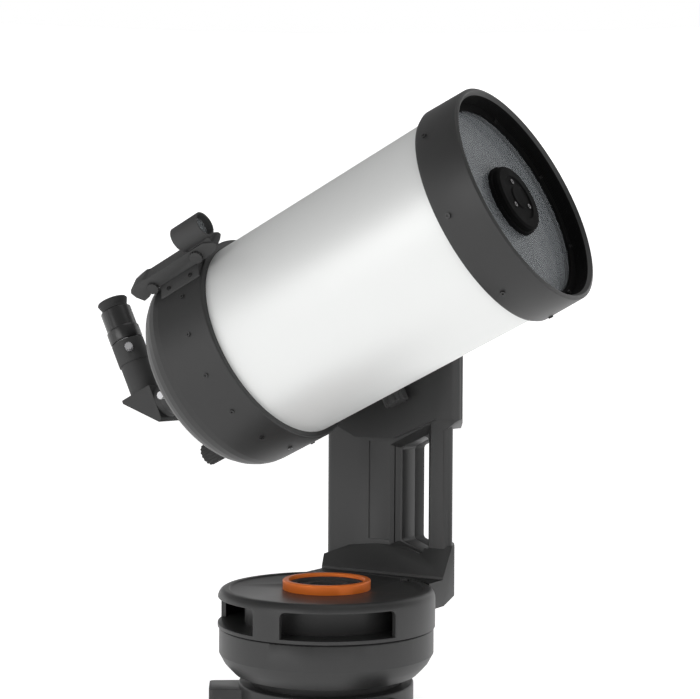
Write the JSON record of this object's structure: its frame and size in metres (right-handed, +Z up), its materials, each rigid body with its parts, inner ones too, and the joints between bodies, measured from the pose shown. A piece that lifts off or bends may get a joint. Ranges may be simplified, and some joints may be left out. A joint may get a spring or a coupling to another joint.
{
  "type": "schmidt-cassegrain telescope",
  "caption": "Schmidt-Cassegrain telescope on a single-arm motorised altazimuth mount with its tripod head, star diagonal, eyepiece and sight finder.",
  "frame": {"origin": "on the azimuth axis at the underside of the tripod head", "axes": "+Z up along the azimuth axis; at rest the tube points along +X and 26 degrees up, and the fork arm stands on the +Y side"},
  "size_m": [0.5887, 0.3265, 0.6432],
  "materials": {
    "head_paint": "semi-gloss black paint on cast aluminium",
    "grip_plastic": "moulded grip on a threaded stud",
    "turned_steel": "turned steel",
    "casting_paint": "satin black powder coat",
    "gear_brass": "machined brass",
    "orange_ring": "anodised orange",
    "plain_aluminium": "machined aluminium",
    "bush_brass": "sintered bronze",
    "cover_plastic": "textured black moulding",
    "cell_sleeve": "shrink sleeve on cells",
    "board_green": "solder-masked board",
    "tube_silver": "satin silver enamel",
    "ring_paint": "satin black paint",
    "coated_glass": "coated optical glass",
    "first_surface_mirror": "aluminised glass",
    "knob_rubber": "ribbed rubber",
    "bright_chrome": "chromed",
    "eyepiece_black": "black anodised, satin"
  },
  "bodies": {
    "stand": {"tripod_head": "head_paint", "mount_bolts": "grip_plastic", "centre_pin": "turned_steel", "drive_base": "casting_paint", "azimuth_spindle": "turned_steel", "bearing_lower_race": "turned_steel", "azimuth_wheel": "gear_brass"},
    "azimuth_clutch": {"azimuth_clutch_knob": "grip_plastic"},
    "turntable": {"turntable_shell": "casting_paint", "turntable_floor": "casting_paint", "clutch_rings": "orange_ring", "worm_blocks": "plain_aluminium", "drive_motors": "plain_aluminium", "axis_bushes": "bush_brass", "port_panel": "grip_plastic", "fork_arm": "casting_paint", "arm_cover": "cover_plastic", "mount_screws": "turned_steel", "battery_pack": "cell_sleeve", "control_board": "board_green", "bearing_upper_race": "turned_steel", "bearing_balls": "turned_steel"},
    "azimuth_worm_shaft": {"azimuth_worm": "turned_steel"},
    "power_switch": {"power_button": "grip_plastic"},
    "altitude": {"altitude_axle": "turned_steel", "altitude_wheel": "gear_brass", "saddle": "casting_paint", "clamp_jaw": "casting_paint"},
    "altitude_worm_shaft": {"altitude_worm": "turned_steel"},
    "altitude_clutch": {"altitude_clutch_knob": "grip_plastic"},
    "clamp": {"clamp_knob": "grip_plastic"},
    "tube": {"dovetail_bar": "casting_paint", "optical_tube": "tube_silver", "front_ring": "ring_paint", "rear_cell": "ring_paint", "tube_screws": "turned_steel", "corrector_plate": "coated_glass", "retaining_ring": "ring_paint", "secondary_housing": "ring_paint", "secondary_mirror": "first_surface_mirror", "secondary_cover": "cover_plastic", "secondary_baffle": "ring_paint", "baffle_tube": "ring_paint", "visual_back": "ring_paint", "finder_shoe": "cover_plastic"},
    "primary": {"mirror_carrier": "plain_aluminium", "primary_mirror": "first_surface_mirror"},
    "focuser": {"focus_knob": "knob_rubber"},
    "visual_back_clamp": {"visual_back_screw": "turned_steel"},
    "diagonal": {"diagonal_body": "cover_plastic", "diagonal_mirror": "first_surface_mirror"},
    "diagonal_clamp": {"diagonal_screw": "turned_steel"},
    "eyepiece": {"eyepiece_barrel": "bright_chrome", "eyepiece_body": "eyepiece_black", "eyepiece_lenses": "coated_glass", "eyecup": "knob_rubber"},
    "finder": {"finder_body": "cover_plastic", "finder_window": "coated_glass"},
    "finder_adjuster": {"finder_knob": "grip_plastic"},
    "finder_power": {"finder_switch": "grip_plastic"}
  },
  "joints": [
    {"name": "azimuth_clutch_turn", "type": "hinge", "parent": "stand", "child": "azimuth_clutch", "pos_m": [0, 0, 0.13], "axis": [0, 0, 1], "range_deg": [0, 180]},
    {"name": "azimuth", "type": "hinge", "parent": "stand", "child": "turntable", "pos_m": [0, 0, 0.11], "axis": [0, 0, 1], "continuous": true},
    {"name": "azimuth_worm_turn", "type": "hinge", "parent": "turntable", "child": "azimuth_worm_shaft", "pos_m": [0, 0.047, 0.106], "axis": [1, 0, 0], "continuous": true},
    {"name": "power_button_press", "type": "slide", "parent": "turntable", "child": "power_switch", "axis": [0, 0, -1], "range_m": [0, 0.0015], "stiffness_N_per_m": 400, "springref_m": -0.001},
    {"name": "altitude_tilt", "type": "hinge", "parent": "turntable", "child": "altitude", "pos_m": [0, 0.15, 0.426], "axis": [0, -1, 0], "range_deg": [-36, 44]},
    {"name": "altitude_worm_turn", "type": "hinge", "parent": "turntable", "child": "altitude_worm_shaft", "pos_m": [0, 0.1485, 0.379], "axis": [-1, 0, 0], "range_deg": [-2880, 3520]},
    {"name": "altitude_clutch_turn", "type": "hinge", "parent": "altitude", "child": "altitude_clutch", "pos_m": [0, 0.1985, 0.426], "axis": [0, 1, 0], "range_deg": [0, 180]},
    {"name": "clamp_turn", "type": "hinge", "parent": "altitude", "child": "clamp", "pos_m": [0.00462, 0.1151, 0.35037], "axis": [-0.4384, 0, 0.8988], "range_deg": [-720, 360]},
    {"name": "tube_slide", "type": "slide", "parent": "altitude", "child": "tube", "axis": [0.8988, 0, 0.4384], "range_m": [-0.015, 0.025]},
    {"name": "primary_shift", "type": "slide", "parent": "tube", "child": "primary", "axis": [0.8988, 0, 0.4384], "range_m": [-0.003, 0.003]},
    {"name": "focus_turn", "type": "hinge", "parent": "tube", "child": "focuser", "pos_m": [-0.13522, 0.00134, 0.27439], "axis": [0.8988, 0, 0.4384], "range_deg": [-1440, 1440]},
    {"name": "visual_back_clamp_turn", "type": "hinge", "parent": "tube", "child": "visual_back_clamp", "pos_m": [-0.19773, -0.02388, 0.32956], "axis": [0, -1, 0], "range_deg": [-360, 90]},
    {"name": "diagonal_turn", "type": "hinge", "parent": "tube", "child": "diagonal", "pos_m": [-0.20762, 0, 0.32474], "axis": [0.8988, 0, 0.4384], "continuous": true},
    {"name": "diagonal_clamp_turn", "type": "hinge", "parent": "diagonal", "child": "diagonal_clamp", "pos_m": [-0.25198, -0.01931, 0.38154], "axis": [0.5283, -0.809, 0.2577], "range_deg": [-360, 90]},
    {"name": "eyepiece_slide", "type": "slide", "parent": "diagonal", "child": "eyepiece", "axis": [-0.4384, 0, 0.8988], "range_m": [0, 0.035]},
    {"name": "finder_slide", "type": "slide", "parent": "tube", "child": "finder", "axis": [-0.8988, 0, -0.4384], "range_m": [0, 0.07]},
    {"name": "finder_adjust_turn", "type": "hinge", "parent": "finder", "child": "finder_adjuster", "pos_m": [-0.10297, -0.09334, 0.47744], "axis": [0.2876, -0.7547, -0.5897], "range_deg": [-720, 720]},
    {"name": "finder_switch_turn", "type": "hinge", "parent": "finder", "child": "finder_power", "pos_m": [-0.16117, -0.09111, 0.4462], "axis": [0.2876, -0.7547, -0.5897], "range_deg": [0, 270]}
  ],
  "couplings": [
    {"joint": "azimuth_worm_turn", "follows": "azimuth", "ratio": -80},
    {"joint": "altitude_worm_turn", "follows": "altitude_tilt", "ratio": 80},
    {"joint": "focus_turn", "follows": "primary_shift", "rad_per_m": 8377.6}
  ]
}
